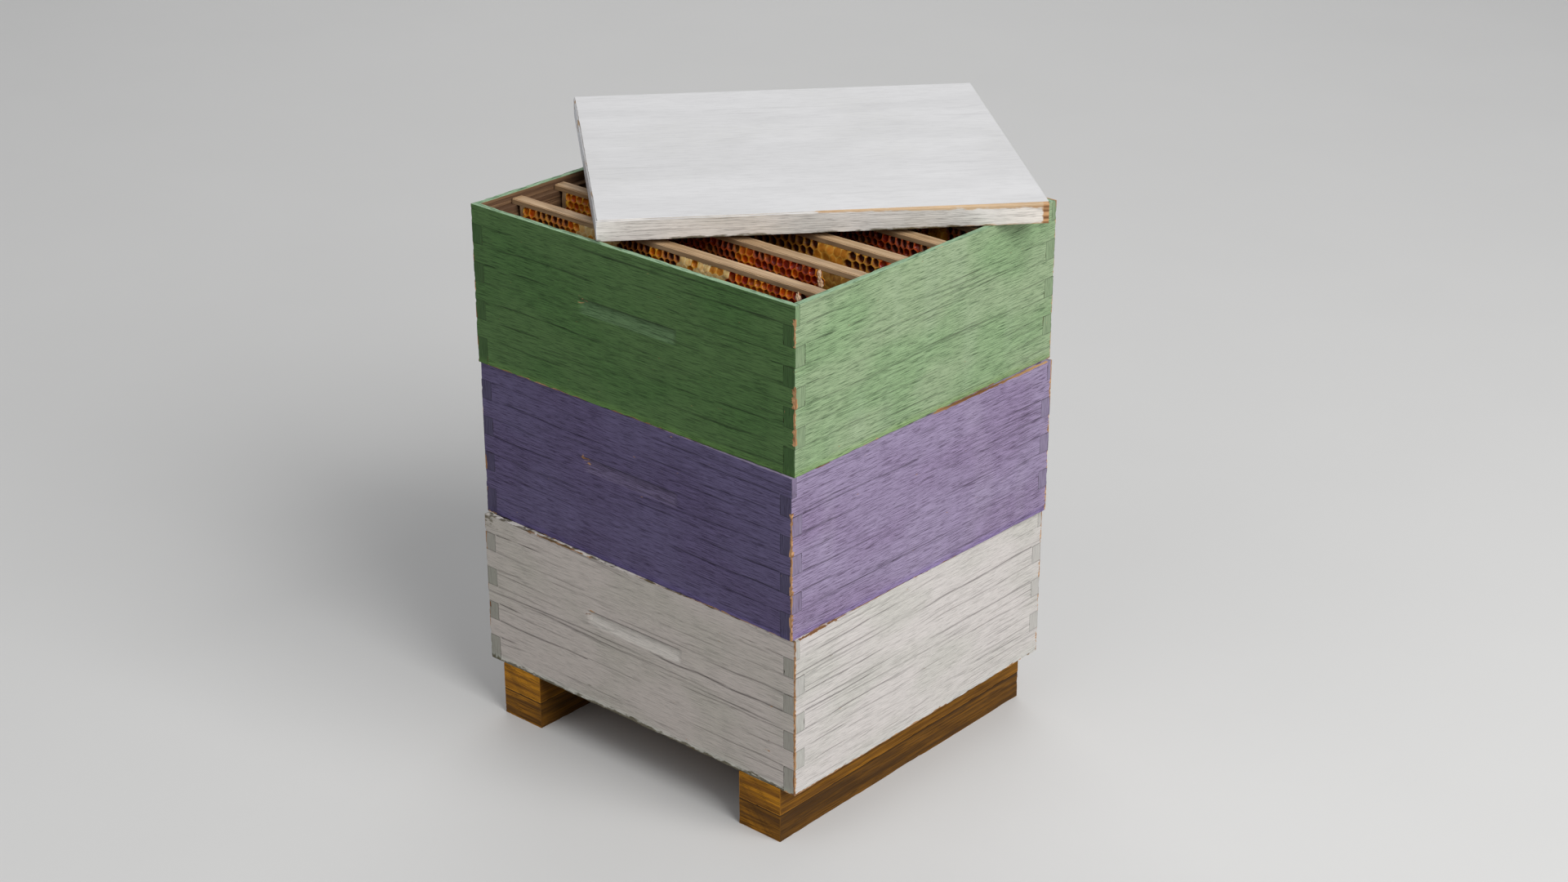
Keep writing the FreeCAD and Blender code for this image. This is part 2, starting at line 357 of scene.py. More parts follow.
# ==== materials ====
class Nodes:
    """Short way to write a material's node tree."""

    def __init__(self, name):
        self.material = bpy.data.materials.new(name)
        self.material.use_nodes = True
        self.tree = self.material.node_tree
        self.shader = self.tree.nodes["Principled BSDF"]

    def add(self, kind, **inputs):
        """New node. An input is named, with _ for a space, or numbered as _0."""
        node = self.tree.nodes.new(kind)
        for key, value in inputs.items():
            socket = node.inputs[int(key[1:])] if key[0] == "_" else node.inputs[key.replace("_", " ")]
            self.put(socket, value)
        return node

    def put(self, socket, value):
        """Links a socket to another, or sets it."""
        if isinstance(value, bpy.types.NodeSocket):
            self.tree.links.new(value, socket)
        else:
            socket.default_value = value

    def link(self, **inputs):
        """Links inputs of the shader."""
        for key, value in inputs.items():
            self.put(self.shader.inputs[key.replace("_", " ")], value)

    def math(self, operation, a, b=0.0, clamp=False):
        node = self.add("ShaderNodeMath", _0=a, _1=b)
        node.operation = operation
        node.use_clamp = clamp
        return node.outputs[0]

    def times(self, a, b):
        return self.math("MULTIPLY", a, b)

    def attribute(self, name, output="Fac"):
        """What the mesh stores at each point."""
        node = self.tree.nodes.new("ShaderNodeAttribute")
        node.attribute_name = name
        return node.outputs[output]

    def noise(self, place, scale=1.0, detail=3.0, roughness=0.55):
        node = self.add("ShaderNodeTexNoise", Vector=place, Scale=scale, Detail=detail, Roughness=roughness)
        return node.outputs["Fac"]

    def grain_noise(self, scale, detail, roughness=0.55, offset=(0.0, 0.0, 0.0)):
        """Noise in the grain coordinates that the mesh stores."""
        grain = self.attribute("grain", "Vector")
        place = self.add("ShaderNodeMapping", Vector=grain, Scale=scale, Location=offset).outputs[0]
        return self.noise(place, 1.0, detail, roughness)

    def object_place(self):
        return self.tree.nodes.new("ShaderNodeTexCoord").outputs["Object"]

    def band(self, value, low, high, start=0.0, end=1.0):
        """Maps value from low..high to start..end, smooth and clamped."""
        limits = dict(From_Min=low, From_Max=high, To_Min=start, To_Max=end)
        node = self.add("ShaderNodeMapRange", Value=value, **limits)
        node.interpolation_type = "SMOOTHSTEP"
        return node.outputs["Result"]

    def mix(self, factor, a, b, blend="MIX"):
        node = self.tree.nodes.new("ShaderNodeMix")
        node.data_type = "RGBA"
        node.blend_type = blend
        node.clamp_factor = True
        self.put(node.inputs[0], factor)
        for socket, colour in ((node.inputs[6], a), (node.inputs[7], b)):
            self.put(socket, (*colour, 1.0) if isinstance(colour, tuple) else colour)
        return node.outputs[2]

    def tinted(self, colour, by):
        """A colour multiplied by another."""
        return self.mix(1.0, colour, by, "MULTIPLY")

    def shade(self, factor, colour, by):
        """A colour, multiplied by another where factor says."""
        return self.mix(factor, colour, self.tinted(colour, by))

    def bump(self, height, distance, strength=1.0):
        node = self.add("ShaderNodeBump", Height=height, Strength=strength, Distance=distance)
        return node.outputs["Normal"]


def srgb(red, green, blue):
    """Linear colour from 0 to 255 screen numbers."""
    screen = (red / 255, green / 255, blue / 255)
    return tuple(c / 12.92 if c <= 0.0404 else ((c + 0.055) / 1.055) ** 2.4 for c in screen)


def darker(colour, share):
    """A share of a colour."""
    return tuple(c * share for c in colour)


def bare_wood(m, fine, pale, dark):
    """Colour of unpainted timber."""
    rings = m.grain_noise((5.0, 210.0, 60.0), 1.5)
    base = m.mix(m.band(rings, 0.36, 0.66), pale, dark)
    return m.shade(m.band(fine, 0.52, 0.72, 0.0, 0.4), base, SHADE)


def thin_lines(m, field, width):
    """1 along thin wandering lines: where a stretched noise passes its middle value."""
    away = m.math("ABSOLUTE", m.math("SUBTRACT", field, 0.5))
    return m.band(away, width, width * 0.3)


def painted_timber(name, paint, wood, inside, contrast=1.0, roughness=0.7, ragged=1.9, relief=0.9, soft=0.06):
    """Old paint over timber. The mesh says where there is paint, how pale, worn or dirty it is, and where
    shade is painted.

    wood shows where paint is worn, and inside where none was. contrast is the strength of the grain lines,
    ragged and soft how broken and how blurred the edge of worn paint is, and relief how rough it feels."""
    m = Nodes(name)
    fine = m.grain_noise((46.0, 1150.0, 300.0), 2.0, 0.8)
    streak = m.grain_noise((9.0, 760.0, 160.0), 2.0, 0.7)
    blotch = m.grain_noise((9.0, 17.0, 8.0), 1.5)
    brush = m.grain_noise((38.0, 9.0, 9.0), 0.0, offset=(0.3, 0.7, 0.1))
    chip = m.grain_noise((80.0, 300.0, 160.0), 2.0, 0.65)
    bleach = m.attribute("bleach")

    # paint paler on the right and darker on the front: partly sun bleaching, partly painted light and shade
    colour = m.mix(bleach, paint["shaded"], paint["bleached"])
    colour = m.shade(m.band(blotch, 0.40, 0.66, 0.0, 0.75), colour, paint["tint"])
    pale = m.mix(bleach, m.tinted(colour, PALER), m.mix(0.2, colour, WHITE))
    colour = m.mix(m.band(brush, 0.5, 0.8, 0.0, 0.1 * contrast), colour, pale)
    fresh = m.mix(bleach, paint["fresh"], paint["fresh_bleached"])
    colour = m.mix(m.times(m.attribute("fresh"), 0.75), colour, fresh)
    # paler rim paint, partly painted light on the rim's upward face; also painted light on the handhold's
    # slope
    colour = m.mix(m.attribute("rim"), colour, paint["rim"])
    colour = m.shade(m.band(fine, 0.46, 0.28, 0.0, 0.55 * contrast), colour, LIGHT)

    streaks = m.times(m.band(streak, 0.57, 0.78, 0.0, 0.85), m.band(bleach, 0.0, 1.0, 1.0, 0.7))
    end = m.attribute("end_grain")
    lines = m.math("MAXIMUM", m.band(fine, 0.50, 0.64), streaks)
    lines = m.times(lines, m.band(end, 0.0, 1.0, contrast, 0.5 * contrast))
    colour = m.mix(lines, colour, m.tinted(m.tinted(colour, SHADE), paint["tint"]))
    hair = m.times(thin_lines(m, streak, 0.02), m.band(blotch, 0.44, 0.58, 0.0, 0.6 * contrast))
    # cracks, joint lines and painted shadow lines, darkened
    cracks_and_shadow = m.math("MAXIMUM", m.attribute("groove"), m.times(m.attribute("seam"), 0.6))
    dark = m.math("MAXIMUM", hair, cracks_and_shadow, clamp=True)
    colour = m.shade(m.times(dark, 0.95), colour, DEEP_SHADE)
    colour = m.shade(m.times(end, m.band(bleach, 0.0, 1.0, 1.0, 0.6)), colour, END_SHADE)

    loose = m.times(m.math("SUBTRACT", chip, 0.5), ragged)
    worn = m.band(m.math("ADD", m.attribute("wear"), loose), 0.5 - soft, 0.5 + soft)
    covered = m.band(m.attribute("paint"), 0.35, 0.65)
    bare = m.math("MAXIMUM", worn, m.math("SUBTRACT", 1.0, covered))
    timber = bare_wood(m, fine, m.mix(covered, inside[0], wood[0]), m.mix(covered, inside[1], wood[1]))
    colour = m.mix(bare, colour, timber)
    # darker where the paint is dirty, and where shade is painted
    grime_and_shade = m.band(m.math("ADD", m.attribute("dirt"), loose), 0.45, 0.8, 0.0, 0.85)
    height = m.math("ADD", m.times(fine, -0.4), m.times(streak, -0.6))
    m.link(
        Base_Color=m.mix(grime_and_shade, colour, GRIME_AND_SHADE),
        Roughness=m.band(fine, 0.2, 0.8, roughness - 0.1, roughness + 0.14),
        Normal=m.bump(height, 0.9 * MM, relief),
    )
    m.shader.inputs["Specular IOR Level"].default_value = 0.3
    return m.material


def plain_timber(name):
    """Unpainted timber with grain, stains and paler rubbed edges."""
    m = Nodes(name)
    *screen, roughness, edge_light, lined = WOODS[name]
    pale, dark, stain = (srgb(*c) for c in screen)
    fine = m.grain_noise((34.0, 900.0, 300.0), 1.5, 0.6)
    streak = m.grain_noise((9.0, 330.0, 60.0), 2.0, 0.65)
    patch = m.grain_noise((14.0, 60.0, 30.0), 1.5)
    colour = bare_wood(m, fine, pale, dark)
    colour = m.mix(m.band(patch, 0.45, 0.75, 0.0, 0.7), colour, stain)
    dark_line = m.math("MAXIMUM", thin_lines(m, streak, 0.022), m.band(fine, 0.54, 0.66))
    colour = m.mix(m.times(dark_line, lined), colour, darker(dark, 0.45))
    rubbed = m.times(m.attribute("wear"), m.band(patch, 0.3, 0.6, 0.3 * edge_light, edge_light))
    colour = m.mix(rubbed, colour, tuple(min(1.0, c * 1.4 + 0.02) for c in pale))
    for mark, strength, share in (("dirt", 0.8, 0.3), ("groove", 0.7, 0.35), ("end_grain", 0.2, 0.6)):
        colour = m.mix(m.times(m.attribute(mark), strength), colour, darker(dark, share))
    height = m.math("SUBTRACT", m.times(fine, -0.5), m.times(streak, 0.5))
    m.link(
        Base_Color=colour,
        Roughness=m.band(fine, 0.2, 0.8, roughness - 0.08, roughness + 0.16),
        Normal=m.bump(height, 0.6 * MM, 0.8),
    )
    m.shader.inputs["Specular IOR Level"].default_value = 0.25
    return m.material


def wax_material():
    """Comb wax and honey. The mesh gives each point's colour and how wet it is."""
    m = Nodes("beeswax")
    place = m.object_place()
    tone = m.attribute("tone", "Color")
    mottle = m.noise(place, scale=240.0)
    cloud = m.noise(place, scale=45.0)
    colour = m.shade(m.band(mottle, 0.42, 0.70, 0.0, 0.5), tone, srgb(196, 150, 96))
    m.link(
        Base_Color=m.mix(m.band(cloud, 0.48, 0.70, 0.0, 0.3), colour, srgb(226, 160, 60)),
        Roughness=m.band(m.attribute("wet"), 0.0, 1.0, 0.5, 0.12),
        Normal=m.bump(m.math("ADD", mottle, cloud), 0.4 * MM, 0.6),
    )
    m.shader.inputs["Specular IOR Level"].default_value = 0.3
    m.shader.inputs["Subsurface Weight"].default_value = 0.12
    m.shader.inputs["Subsurface Radius"].default_value = (0.006, 0.0025, 0.0008)
    m.shader.inputs["Subsurface Scale"].default_value = 1.0
    return m.material


def steel_material():
    """Dull wire nail with rust."""
    m = Nodes("nail_steel")
    rust = m.noise(m.object_place(), scale=420.0, detail=4.0)
    m.link(
        Base_Color=m.mix(m.band(rust, 0.45, 0.6), srgb(120, 116, 110), srgb(112, 62, 34)),
        Metallic=m.band(rust, 0.45, 0.6, 0.9, 0.1),
        Roughness=m.band(rust, 0.4, 0.65, 0.38, 0.85),
        Normal=m.bump(rust, 0.2 * MM, 0.5),
    )
    return m.material


def paint_colours(shaded, bleached, tint, fresh=None, fresh_bleached=None, rim=None):
    """One paint's colours, from screen numbers. What isn't given is as the rest of the board."""
    names = ("shaded", "bleached", "tint", "fresh", "fresh_bleached", "rim")
    values = (shaded, bleached, tint, fresh or shaded, fresh_bleached or bleached, rim or shaded)
    return {name: srgb(*value) for name, value in zip(names, values)}


# pale and dark grain of bare timber: where paint has gone, inside the boxes, and on the lid
BARE_WOOD = (srgb(200, 154, 108), srgb(122, 82, 48))
INNER_WOOD = (srgb(126, 96, 68), srgb(92, 66, 46))
LID_WOOD = (srgb(204, 176, 142), srgb(166, 128, 88))
WHITE = (1.0, 1.0, 1.0)
# what a colour is multiplied by
PALER = (1.35, 1.35, 1.35)
LIGHT = (1.4, 1.4, 1.4)
SHADE = srgb(184, 182, 184)
DEEP_SHADE = srgb(116, 112, 114)
END_SHADE = srgb(208, 213, 209)
# colour of dirty paint, also used for painted shade
GRIME_AND_SHADE = srgb(80, 72, 44)

# the front's paint is darker and the right side's paler: partly sun bleaching, partly painted shade on the
# front and painted light on the lit right side. The lower edges still look fresh
# the rim colours are paler paint, partly painted light on the rim's upward face
PAINTS = {
    "top": paint_colours(
        shaded=(81, 113, 63), bleached=(147, 166, 130), tint=(238, 255, 238),
        fresh=(106, 146, 72), fresh_bleached=(128, 158, 92), rim=(136, 165, 132),
    ),
    "middle": paint_colours(
        shaded=(98, 89, 124), bleached=(148, 134, 163), tint=(250, 242, 250),
        fresh=(104, 92, 148), fresh_bleached=(132, 112, 168), rim=(150, 138, 164),
    ),
    "bottom": paint_colours(
        shaded=(198, 189, 182), bleached=(205, 199, 195), tint=(246, 250, 245),
        fresh=(214, 216, 206), fresh_bleached=(206, 205, 200), rim=(218, 212, 204),
    ),
    "lid": paint_colours(shaded=(208, 207, 207), bleached=(214, 213, 213), tint=(250, 250, 249)),
    "lid_edge": paint_colours(
        shaded=(226, 218, 209), bleached=(218, 214, 209), tint=(240, 240, 236),
        fresh=(244, 245, 250), fresh_bleached=(240, 242, 248),
    ),
}
GRAIN_CONTRAST = {"bottom": 0.5, "middle": 1.2, "top": 1.1, "lid": 0.08, "lid_edge": 0.6}
BOX_SLOTS = {"bottom": "white_paint", "middle": "purple_paint", "top": "green_paint"}
# bare timbers: pale and dark grain and stain, as screen numbers, roughness, how pale the edges are, and how
# strong the dark lines are
WOODS = {
    "frame_wood": ((196, 165, 128), (170, 138, 102), (148, 116, 80), 0.55, 0.25, 0.2),
    "stand_upper": ((210, 142, 20), (136, 86, 10), (108, 66, 8), 0.7, 0.75, 0.7),
    "stand_lower": ((184, 122, 18), (104, 66, 8), (80, 48, 6), 0.7, 0.7, 0.7),
    "floor_ply": ((168, 128, 82), (124, 88, 52), (92, 64, 38), 0.7, 0.1, 0.5),
}

# how pale each side's paint is, 0 to 1: partly sun bleaching, partly painted light and shade
LIGHT_AND_BLEACH = {"front": 0.0, "right": 1.0, "back": 0.3, "left": 0.75}
# the wall that each end of a board shows on: at its low end, at its high end, in its own frame
END_WALLS = {
    "front": ("left", "right"),
    "back": ("right", "left"),
    "right": ("front", "back"),
    "left": ("back", "front"),
}
# stretches of bare arris on the front right corner, as heights above the box's underside, in millimetres
BARE_ARRIS = {"top": ((33, 89), (129, 154)), "middle": ((0, 131),), "bottom": ((0, 168),)}
# how far the bare arris reaches over the front and back, and over the sides, in millimetres
BARE_WIDTHS = {"top": (3.4, 1.3), "middle": (1.5, 2.8), "bottom": (1.8, 2.4)}
# stretches of bare edge along a board, in millimetres in its own frame: (edge, from, to, how bare, 0 to 1)
BARE_EDGES = {
    ("middle", "right"): (("rim", 15, 200, 0.9),),
    ("middle", "front"): (("foot", 80, 213, 0.65), ("foot", -140, -100, 0.65)),
    ("top", "right"): (("foot", 10, 110, 0.65), ("foot", 150, 196, 0.65)),
    ("top", "front"): (("foot", -205, -60, 0.7), ("foot", 40, 90, 0.65)),
    ("bottom", "right"): (("foot", -196, 40, 0.7), ("foot", 120, 170, 0.65)),
    ("bottom", "front"): (("rim", -150, -60, 0.65),),
}


# ==== hive boxes ====
def in_handhold(corner):
    """Whether a corner of a front or back board, in its own frame, belongs to the handhold."""
    x, _, z = corner
    return abs(x) < HANDHOLD_HALF and HANDHOLD_HEIGHTS[0] < z < HANDHOLD_HEIGHTS[1]


def handhold_corners(node, seat):
    """Half width, low and high of the handhold, from the CAD board's own corners."""
    mesh = seated_mesh(node, seat)
    inner = [v.co.copy() for v in mesh.vertices if in_handhold(v.co)]
    bpy.data.meshes.remove(mesh)
    return max(c.x for c in inner), min(c.z for c in inner), max(c.z for c in inner)


def carve_handhold(points, half, low, high):
    """How far the front face is cut back at each point: steep under the upper edge, sloping out below."""
    x, z = np.abs(points[:, 0]), points[:, 2]
    rise = np.clip((z - low) / ((high - low) * 0.95), 0, 1)
    within = ramp(half - x, 0.0, 1.6 * MM) * (z > low) * ramp(high - z, 0.0, 1.3 * MM)
    return HANDHOLD_DEPTH * rise * within


def board(level, wall, materials):
    """One board of a box: finger joints from the CAD, grooved grain, worn arrises, paint outside only."""
    node = f"{level}_{wall}_board"
    seat = SEATS[level] @ Matrix.Rotation(math.pi if wall in ("back", "left") else 0.0, 4, "Z")
    crosswise = wall in ("left", "right")
    steps = (THICK_STEP, GRAIN_STEP, CROSS_STEP) if crosswise else (GRAIN_STEP, THICK_STEP, CROSS_STEP)
    points, quads, axes, sides = blocky_copy(node, seat, steps, None if crosswise else in_handhold)
    seed = LEVELS.index(level) * 10 + WALLS.index(wall) + 1
    normal = outward(points, quads, axes, sides)
    along, thick = (1, 0) if crosswise else (0, 1)
    face = points[:, thick].max() if crosswise else points[:, thick].min()
    depth = np.abs(points[:, thick] - face)
    half = np.abs(points[:, along]).max()
    u, v = points[:, along], points[:, 2]
    top = v.max()
    outer = depth < SAME
    rim = (v > top - SAME) & (depth < LIP_WIDTH)
    end_face = half - np.abs(u) < SAME

    # shape
    grooves = board_grooves(u, v, half, top, seed)
    swell = (rough_noise(u * 6, v * 40, seed + 50) - 0.5) * 0.5 * MM
    arris = np.count_nonzero(normal, axis=1) > 1
    chips = ramp(rough_noise(u * 130, v * 130, seed + 80), 0.5, 0.8) * 0.7 * MM
    inward = grooves + np.maximum(swell, 0) + np.where(arris, chips, 0)
    shift = np.zeros_like(points)
    shift[:, thick] = -normal[:, thick] * inward
    shift[:, along] = -np.sign(u) * np.where(end_face & outer, chips * 0.6, 0)
    joint = half - np.abs(u) < JOINT_LENGTH
    rims = (v > top - SAME) | (v < SAME)
    ragged = 1.1 if level == "bottom" else 0.3
    shift[:, 2] = -np.sign(v - top / 2) * np.where(rims & ~joint, chips * ragged + 0.1 * MM, 0)
    if not crosswise:
        reach, low, high = handhold_corners(node, seat)
        shift[:, thick] += carve_handhold(points, reach, low, high) * outer
    obj = make_object(f"{node}_timber", to_row(points + shift, seat), quads)

    # marks for the material
    painted = outer | rim | end_face
    wear = box_wear(level, wall, u, v, depth, half, top, seed) * painted
    dark_line, lit = np.zeros_like(u), np.zeros_like(u)
    if not crosswise:
        across = ramp(reach + 1 * MM - np.abs(u), 0, 2 * MM)
        # painted shadow under the handhold's upper edge
        dark_line = across * ramp(1.6 * MM - np.abs(v - high), 0, 1.2 * MM)
        # painted light on the handhold's upward slope, drawn in the rim colour
        slope = ramp(v, low, low + 1.5 * MM) * ramp(high - v, 0, 2 * MM)
        lit = across * slope * (0.8 if level == "bottom" else 0.25)
        wear = np.maximum(wear, handhold_wear(level, u, v, reach, low, high) * outer)
    lengthwise, upright = np.stack([u, v, depth], axis=1), np.stack([v, depth, u], axis=1)
    offset = seed * np.array([3.1, 1.7, 0.9])
    patchy = 0.4 + 0.6 * rough_noise(u * 20, v * 100, seed + 70)
    store(
        obj,
        grain=np.where((end_face & ~outer)[:, None], upright, lengthwise) + offset,
        # cracks, and painted shadow under the handhold's upper edge
        groove=np.maximum(np.clip(grooves / (0.9 * MM), 0, 1), dark_line) * outer,
        paint=painted.astype(float),
        end_grain=end_grain(points, quads, axes, along),
        seam=joint_lines(normal, outer | end_face, u, v, half, top),
        # how pale, by side: partly sun bleaching, partly painted light on the lit right side and painted
        # shade on the front
        bleach=bleach_of(wall, u, depth, end_face),
        # the rim's top face, and painted light on the handhold's upward slope
        rim=np.maximum(rim & (depth > SKIN), lit * outer),
        fresh=ramp(9 * MM - v, 0, 8 * MM) * patchy,
        wear=wear,
        # dirty paint, and on the bottom box's front painted shade under the box above
        dirt=box_dirt(level, wall, u, v, half, top, seed) * painted,
    )
    finish_piece(obj, materials[level], f"{level}_box", [node], BOX_SLOTS[level], 0.4 * MM)


def handhold_wear(level, u, v, reach, low, high):
    """0 to 1: how far fingers have rubbed the paint off at the handhold's left end."""
    left_end = ramp(11 * MM - np.abs(u + reach - 4 * MM), 0, 9 * MM) * ramp(v, low + 2 * MM, high - 2 * MM)
    return left_end * ramp(high + 5 * MM - v, 0, 4 * MM) * (0.55 if level == "middle" else 0.38)


def board_grooves(u, v, half, top, seed):
    """Depth of a board's cracks: short ones anywhere, and long ones that run in from the finger joints."""
    short = groove_field(u, v, seed, 110, (0.015, 0.07), (0.5 * MM, 0.8 * MM), (0.15 * MM, 0.45 * MM))
    long = groove_field(u, v, seed + 7, 12, (0.10, 0.26), (0.55 * MM, 0.85 * MM), (0.4 * MM, 0.8 * MM))
    rng = np.random.default_rng(seed + 11)
    for k in range(1, FINGER_LINES + 1):
        for side in (-1, 1):
            reach = rng.uniform(0.04, 0.24)
            depth = rng.uniform(0.35, 0.9) * MM
            thick = rng.uniform(0.5, 0.8) * MM
            from_end = half - side * u
            wave = (lattice_noise(from_end * 25, from_end * 0 + k, seed + 13) - 0.5) * 2.4 * MM
            line = top - k * FINGER_PITCH + wave * ramp(from_end, 12 * MM, 60 * MM)
            fade = ramp(reach - from_end, 0, 0.3 * reach) * (from_end > JOINT_LENGTH)
            broken = ramp(lattice_noise(from_end * 45, from_end * 0 + k + 0.5, seed + 17), 0.2, 0.5)
            long = np.maximum(long, depth * fade * broken * np.exp(-(((v - line) / thick) ** 2)))
    return np.maximum(short, long)


def joint_lines(normal, shown, u, v, half, top):
    """1 along the lines where a corner joint shows, on a board's outer faces."""
    edge = np.count_nonzero(normal, axis=1) > 1
    on_joint = (half - np.abs(u) < JOINT_LENGTH) & (v > 1 * MM) & (v < top - 1 * MM)
    box_arris = (half - np.abs(u) < SAME) & (np.abs(normal[:, 2]) < 0.5)
    return (edge & shown & on_joint & ~box_arris).astype(float)


def bleach_of(wall, u, depth, end_face):
    """How pale the paint is, 0 to 1, each side its own: partly sun bleaching, partly painted light and shade.
    """
    low_end, high_end = END_WALLS[wall]
    at_end = np.where(u < 0, LIGHT_AND_BLEACH[low_end], LIGHT_AND_BLEACH[high_end])
    return np.where(end_face & (depth > SKIN), at_end, LIGHT_AND_BLEACH[wall])


def end_grain(points, quads, axes, along):
    """1 at points of the faces that cut across the grain."""
    mark = np.zeros(len(points))
    mark[quads[axes == along].ravel()] = 1
    return mark


def box_wear(level, wall, u, v, depth, half, top, seed):
    """0 to 1: how far the paint has gone, along the corners and the lower and upper edges."""
    along = rough_noise(u * 13, u * 0 + 0.5, seed + 300)
    rim = 0.0 if level == "top" else 0.8
    bare = {"foot": ramp(along, 0.58, 0.72) * 0.9, "rim": ramp(along, 0.62, 0.78) * rim}
    for edge, start, end, strength in BARE_EDGES.get((level, wall), ()):
        stretch = ramp(u, (start - 6) * MM, start * MM) * ramp((end + 6) * MM - u, 0, 6 * MM)
        bare[edge] = np.maximum(bare[edge], stretch * (strength + 0.3 * (along - 0.5)))
    tall = (2.6 if level == "bottom" else 1.6) * MM
    low = bare["foot"] * np.clip(1.1 - v / tall, 0, 1)
    high = bare["rim"] * np.clip(1.1 - (top - v) / tall, 0, 1) * (depth < 3 * MM)
    spots = ramp(rough_noise(u * 40, v * 200, seed + 400), 0.76, 0.88) * 0.2
    return np.maximum.reduce([corner_wear(level, wall, u, v, depth, half, seed), low, high, spots])


def corner_wear(level, wall, u, v, depth, half, seed):
    """0 to 1: how far the paint has gone along the box's upright corners."""
    from_corner = np.where(depth < SKIN, half - np.abs(u), depth)
    patch = ramp(rough_noise(v * 22 + np.sign(u) * 7, v * 0 + 0.5, seed + 200), 0.46, 0.66)
    marked = np.zeros_like(u)
    for low, high in BARE_ARRIS[level]:
        marked = np.maximum(marked, ramp(v, (low - 3) * MM, low * MM) * ramp((high + 3) * MM - v, 0, 3 * MM))
    front_right = (wall == "front") & (u > 0) | (wall == "right") & (u < 0)
    front_left = (wall == "front") & (u < 0)
    back_right = (wall == "right") & (u > 0)
    patch = np.where(front_right, marked, patch)
    patch = np.where(back_right, np.maximum(patch, 0.75), patch)
    width = BARE_WIDTHS[level][0 if wall in ("front", "back") else 1]
    width = width * (0.3 + 1.3 * rough_noise(v * 90, v * 0 + 2.5, seed + 210))
    width = np.where(front_left, 0.4 * width, width)
    return patch * np.clip(1.3 - from_corner / (width * MM), 0, 1)


def box_dirt(level, wall, u, v, half, top, seed):
    """0 to 1: how dirty the lower edges are, most on the bottom box. The bottom box's front also has a stain
    by its left corner and a dark band under its upper edge: partly dirty paint, partly painted shade under
    the box above.
    """
    strength = {"top": 0.35, "middle": 0.4, "bottom": 0.95}[level]
    height = {"top": 3.0, "middle": 3.0, "bottom": 7.0}[level] * MM
    patch = rough_noise(u * 30, u * 0 + 0.3, seed + 500)
    low = np.clip(1.1 - v / (height * (0.3 + 1.3 * patch)), 0, 1) * strength
    if wall == "right":
        low = low * 0.4
    specks = ramp(rough_noise(u * 90, v * 160, seed + 600), 0.74, 0.88) * (0.4 if level == "bottom" else 0.2)
    stain = np.zeros_like(u)
    if (level, wall) == ("bottom", "front"):
        corner = ramp(u, -half + 45 * MM, -half) * ramp(v, top - 30 * MM, top)
        # dark band under the upper edge: partly dirty paint, partly painted shade under the box above
        upper = np.clip(1.0 - (top - v) / (5 * MM * (0.3 + patch)), 0, 1) * 0.58
        stain = np.maximum(corner * (0.35 + 0.5 * rough_noise(u * 50, v * 80, seed + 700)), upper)
    return np.maximum.reduce([low, specks, stain])


# ==== other timber ====
def timber(node, seat, body, slot, material, along=0, fine=1, steps=None, count=20, ease=0.5 * MM, seed=1,
           deep=0.5, side_dirt=0.0, seam=False):
    """A planed piece: a dense copy of its CAD node with grain, soft arrises and small dents.

    The grain runs on the axis along and is finest on the axis fine. There are count cracks, up to deep
    millimetres deep. side_dirt darkens the long sides, and seam says that the upper edges are dirty."""
    steps = steps or tuple(GRAIN_STEP if k == along else 2.5 * MM for k in range(3))
    points, quads, axes, sides = blocky_copy(node, seat, steps)
    normal = outward(points, quads, axes, sides)
    u = points[:, along]
    across, other = [k for k in range(3) if k != along]
    v = points[:, other] + 1.3 * points[:, across]
    grooves = groove_field(u, v, seed, count, (0.02, 0.16), (0.6 * MM, 1.1 * MM), (0.1 * MM, deep * MM))
    swell = np.maximum(rough_noise(u * 12, v * 90, seed + 50) - 0.5, 0) * 0.8 * MM
    arris = np.count_nonzero(normal, axis=1) > 1
    chips = ramp(rough_noise(u * 110, v * 110, seed + 80), 0.5, 0.8) * min(deep, 0.5) * MM
    lateral = normal.copy()
    lateral[:, along] = 0
    moved = points - lateral * (grooves + swell + np.where(arris, chips, 0))[:, None]
    obj = make_object(f"{node}_timber", to_row(moved, seat), quads)

    third = points[:, 3 - along - fine]
    lengthwise, turned = (np.stack([a, points[:, fine], b], axis=1) for a, b in ((u, third), (third, u)))
    end_face = normal[:, along] != 0
    # the long sides darker
    darker_sides = (np.abs(normal[:, across]) > 0) * side_dirt * (0.7 + 0.6 * rough_noise(u * 8, v * 60, seed + 95))
    below_top = points[:, 2].max() - points[:, 2]
    gathered = ramp(2.2 * MM - below_top, 0, 1.4 * MM) * (1.2 if seam else 0.0)
    specks = ramp(rough_noise(u * 35, v * 120, seed + 90), 0.58, 0.8) * 0.4
    store(
        obj,
        grain=np.where(end_face[:, None], turned, lengthwise) + seed * np.array([2.3, 1.1, 0.7]),
        groove=np.clip(grooves / (deep * MM), 0, 1),
        end_grain=end_grain(points, quads, axes, along),
        wear=arris * (0.0 if seam else 1.0) + arris * (normal[:, 2] <= 0),
        dirt=np.maximum.reduce([specks, darker_sides, gathered]),
    )
    finish_piece(obj, material, body, [node], slot, ease)


